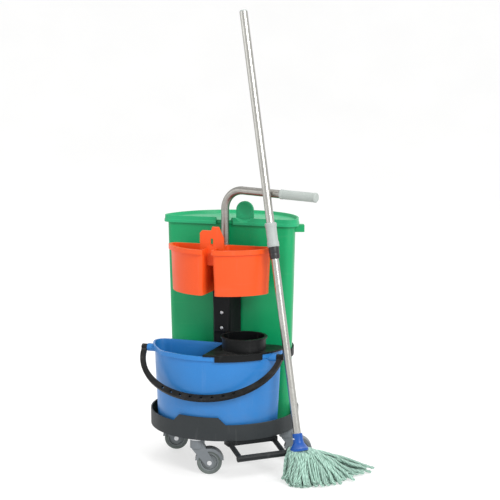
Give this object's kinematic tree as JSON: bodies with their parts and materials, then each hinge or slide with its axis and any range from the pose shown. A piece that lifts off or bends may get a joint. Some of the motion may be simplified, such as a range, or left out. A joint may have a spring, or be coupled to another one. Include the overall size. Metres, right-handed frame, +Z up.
{
  "type": "housekeeping cart",
  "caption": "Round carousel cleaning cart: castored tray, D-shaped lidded bin, bucket with bail and wringer, two-pot caddy on a post with a bent push tube, and a leaning mop.",
  "frame": {"origin": "centre of the whole cart's box (mop included), on the floor", "axes": "+Z up, -Y towards the bucket side (front), +X towards the push arm side"},
  "size_m": [0.713, 0.528, 1.388],
  "materials": {
    "tray_black": "moulded, fine texture",
    "loop_black": "satin powder coat",
    "post_black": "moulded, fine texture",
    "hoop_black": "satin",
    "castor_grey": "moulded, satin",
    "wheel_grey": "moulded, satin",
    "tyre_grey": "soft, matt",
    "bright_steel": "zinc plated",
    "tube_satin": "satin drawn tube",
    "grip_grey": "soft, matt",
    "bin_green": "moulded, satin gloss",
    "lid_green": "moulded, satin gloss",
    "bucket_blue": "moulded, satin gloss",
    "bail_black": "moulded, satin",
    "wringer_black": "moulded, satin",
    "caddy_orange": "moulded, satin gloss",
    "mop_aluminium": "bright drawn tube",
    "sleeve_grey": "soft, matt",
    "collar_black": "satin",
    "socket_blue": "moulded, gloss",
    "yarn_mint": "looped cotton yarn"
  },
  "bodies": {
    "cart": {"deck": "tray_black", "foot_loop": "loop_black", "foot_loop_screws": "bright_steel", "post_column": "post_black", "post_cover": "post_black", "post_screws": "bright_steel", "bin_hoop": "hoop_black", "hoop_screws": "bright_steel", "push_tube": "tube_satin", "push_grip": "grip_grey", "tube_screws": "bright_steel", "castor_plate_1": "bright_steel", "castor_plate_2": "bright_steel", "castor_plate_3": "bright_steel", "castor_plate_4": "bright_steel"},
    "castor_1": {"castor_fork_1": "castor_grey", "castor_axle_1": "bright_steel"},
    "wheel_1": {"castor_hub_1": "wheel_grey", "castor_tyre_1": "tyre_grey"},
    "castor_2": {"castor_fork_2": "castor_grey", "castor_axle_2": "bright_steel"},
    "wheel_2": {"castor_hub_2": "wheel_grey", "castor_tyre_2": "tyre_grey"},
    "castor_3": {"castor_fork_3": "castor_grey", "castor_axle_3": "bright_steel"},
    "wheel_3": {"castor_hub_3": "wheel_grey", "castor_tyre_3": "tyre_grey"},
    "castor_4": {"castor_fork_4": "castor_grey", "castor_axle_4": "bright_steel"},
    "wheel_4": {"castor_hub_4": "wheel_grey", "castor_tyre_4": "tyre_grey"},
    "bin": {"bin_body": "bin_green"},
    "lid": {"bin_lid": "lid_green"},
    "bucket": {"bucket_body": "bucket_blue", "bail_pins": "bail_black"},
    "bail": {"bail": "bail_black"},
    "wringer": {"wringer_body": "wringer_black", "wringer_cone": "wringer_black"},
    "caddy": {"caddy": "caddy_orange"},
    "mop": {"mop_lower_tube": "mop_aluminium", "mop_socket": "socket_blue", "mop_screw": "bright_steel", "mop_head": "yarn_mint"},
    "mop_handle": {"mop_upper_tube": "mop_aluminium", "mop_sleeve": "sleeve_grey", "mop_collar": "collar_black", "mop_cap": "sleeve_grey"}
  },
  "joints": [
    {"name": "castor_1_swivel", "type": "hinge", "parent": "cart", "child": "castor_1", "pos_m": [-0.13612, -0.18976, 0.095], "axis": [0, 0, 1], "continuous": true},
    {"name": "wheel_1_spin", "type": "hinge", "parent": "castor_1", "child": "wheel_1", "pos_m": [-0.10251, -0.17686, 0.0375], "axis": [-0.3584, 0.9336, 0], "continuous": true},
    {"name": "castor_2_swivel", "type": "hinge", "parent": "cart", "child": "castor_2", "pos_m": [-0.32847, 0.00941, 0.095], "axis": [0, 0, 1], "continuous": true},
    {"name": "wheel_2_spin", "type": "hinge", "parent": "castor_2", "child": "wheel_2", "pos_m": [-0.29486, 0.02232, 0.0375], "axis": [-0.3584, 0.9336, 0], "continuous": true},
    {"name": "castor_3_swivel", "type": "hinge", "parent": "cart", "child": "castor_3", "pos_m": [0.0775, 0.01296, 0.095], "axis": [0, 0, 1], "continuous": true},
    {"name": "wheel_3_spin", "type": "hinge", "parent": "castor_3", "child": "wheel_3", "pos_m": [0.11111, 0.02586, 0.0375], "axis": [-0.3584, 0.9336, 0], "continuous": true},
    {"name": "castor_4_swivel", "type": "hinge", "parent": "cart", "child": "castor_4", "pos_m": [-0.1255, 0.21596, 0.095], "axis": [0, 0, 1], "continuous": true},
    {"name": "wheel_4_spin", "type": "hinge", "parent": "castor_4", "child": "wheel_4", "pos_m": [-0.09189, 0.22886, 0.0375], "axis": [-0.3584, 0.9336, 0], "continuous": true},
    {"name": "bin_lift", "type": "slide", "parent": "cart", "child": "bin", "axis": [0, 0, 1], "range_m": [0, 0.25]},
    {"name": "lid_lift", "type": "slide", "parent": "bin", "child": "lid", "axis": [0, 0, 1], "range_m": [0, 0.2]},
    {"name": "bucket_lift", "type": "slide", "parent": "cart", "child": "bucket", "axis": [0, 0, 1], "range_m": [0, 0.04]},
    {"name": "bail_swing", "type": "hinge", "parent": "bucket", "child": "bail", "pos_m": [-0.1255, -0.09904, 0.3533], "axis": [-1, 0, 0], "range_deg": [0, 90]},
    {"name": "wringer_lift", "type": "slide", "parent": "bucket", "child": "wringer", "axis": [0, 0, 1], "range_m": [0, 0.03]},
    {"name": "caddy_lift", "type": "slide", "parent": "cart", "child": "caddy", "axis": [0, 0, 1], "range_m": [0, 0.04]},
    {"name": "mop_lift", "type": "slide", "parent": "cart", "child": "mop", "axis": [0.5997, -0.5997, 0.5298], "range_m": [0, 0.06]},
    {"name": "handle_telescope", "type": "slide", "parent": "mop", "child": "mop_handle", "axis": [-0.1886, 0.1563, 0.9695], "range_m": [-0.2, 0.03]}
  ]
}
